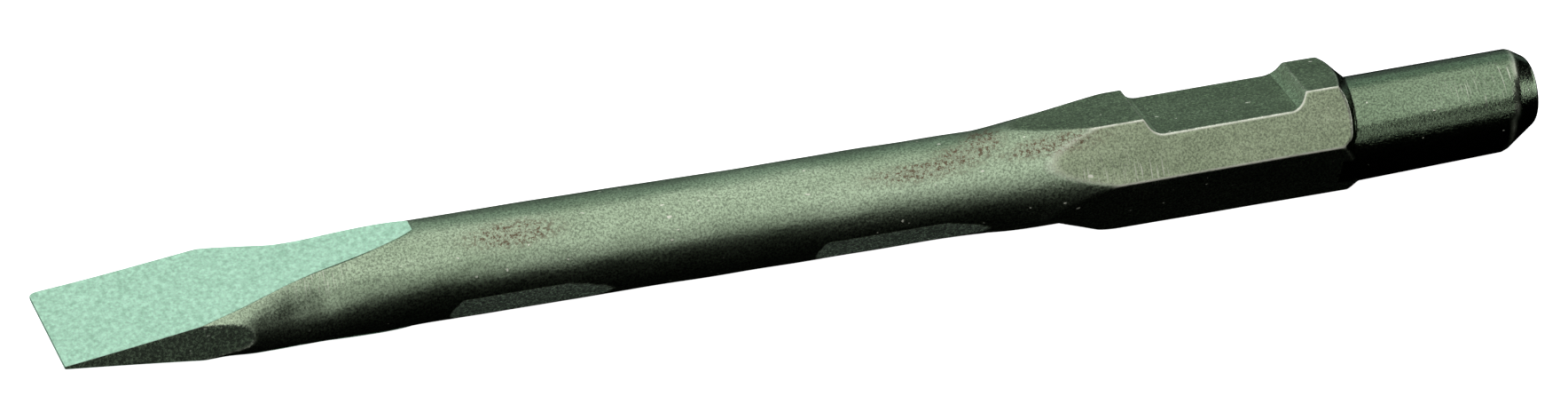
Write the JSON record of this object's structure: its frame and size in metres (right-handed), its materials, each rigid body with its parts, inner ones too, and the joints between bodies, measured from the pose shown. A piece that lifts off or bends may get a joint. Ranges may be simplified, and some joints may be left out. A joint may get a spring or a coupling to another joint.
{
  "type": "hex-shank demolition hammer chisel",
  "caption": "Flat chisel bit for a demolition hammer: forged hex drive with a retainer notch, round striking tail, round shank and a wide wedge blade.",
  "frame": {"origin": "where the centre line of the hex and the shank meets the striking face", "axes": "+X out of the striking face, with the cutting edge at the -X end; +Z is the outward normal of the notched hex flat and of the upper side of the blade; the cutting edge runs along Y"},
  "size_m": [0.384, 0.0438, 0.03],
  "materials": {
    "forged_steel": "dark oxide scale from forging, satin, with worn edges and a little rust",
    "pale_green_lacquer": "thin matt pale green film with fine speckle"
  },
  "bodies": {
    "root": {"chisel_forging": "forged_steel", "blade_coat_top": "pale_green_lacquer", "blade_coat_bottom": "pale_green_lacquer"}
  },
  "joints": []
}
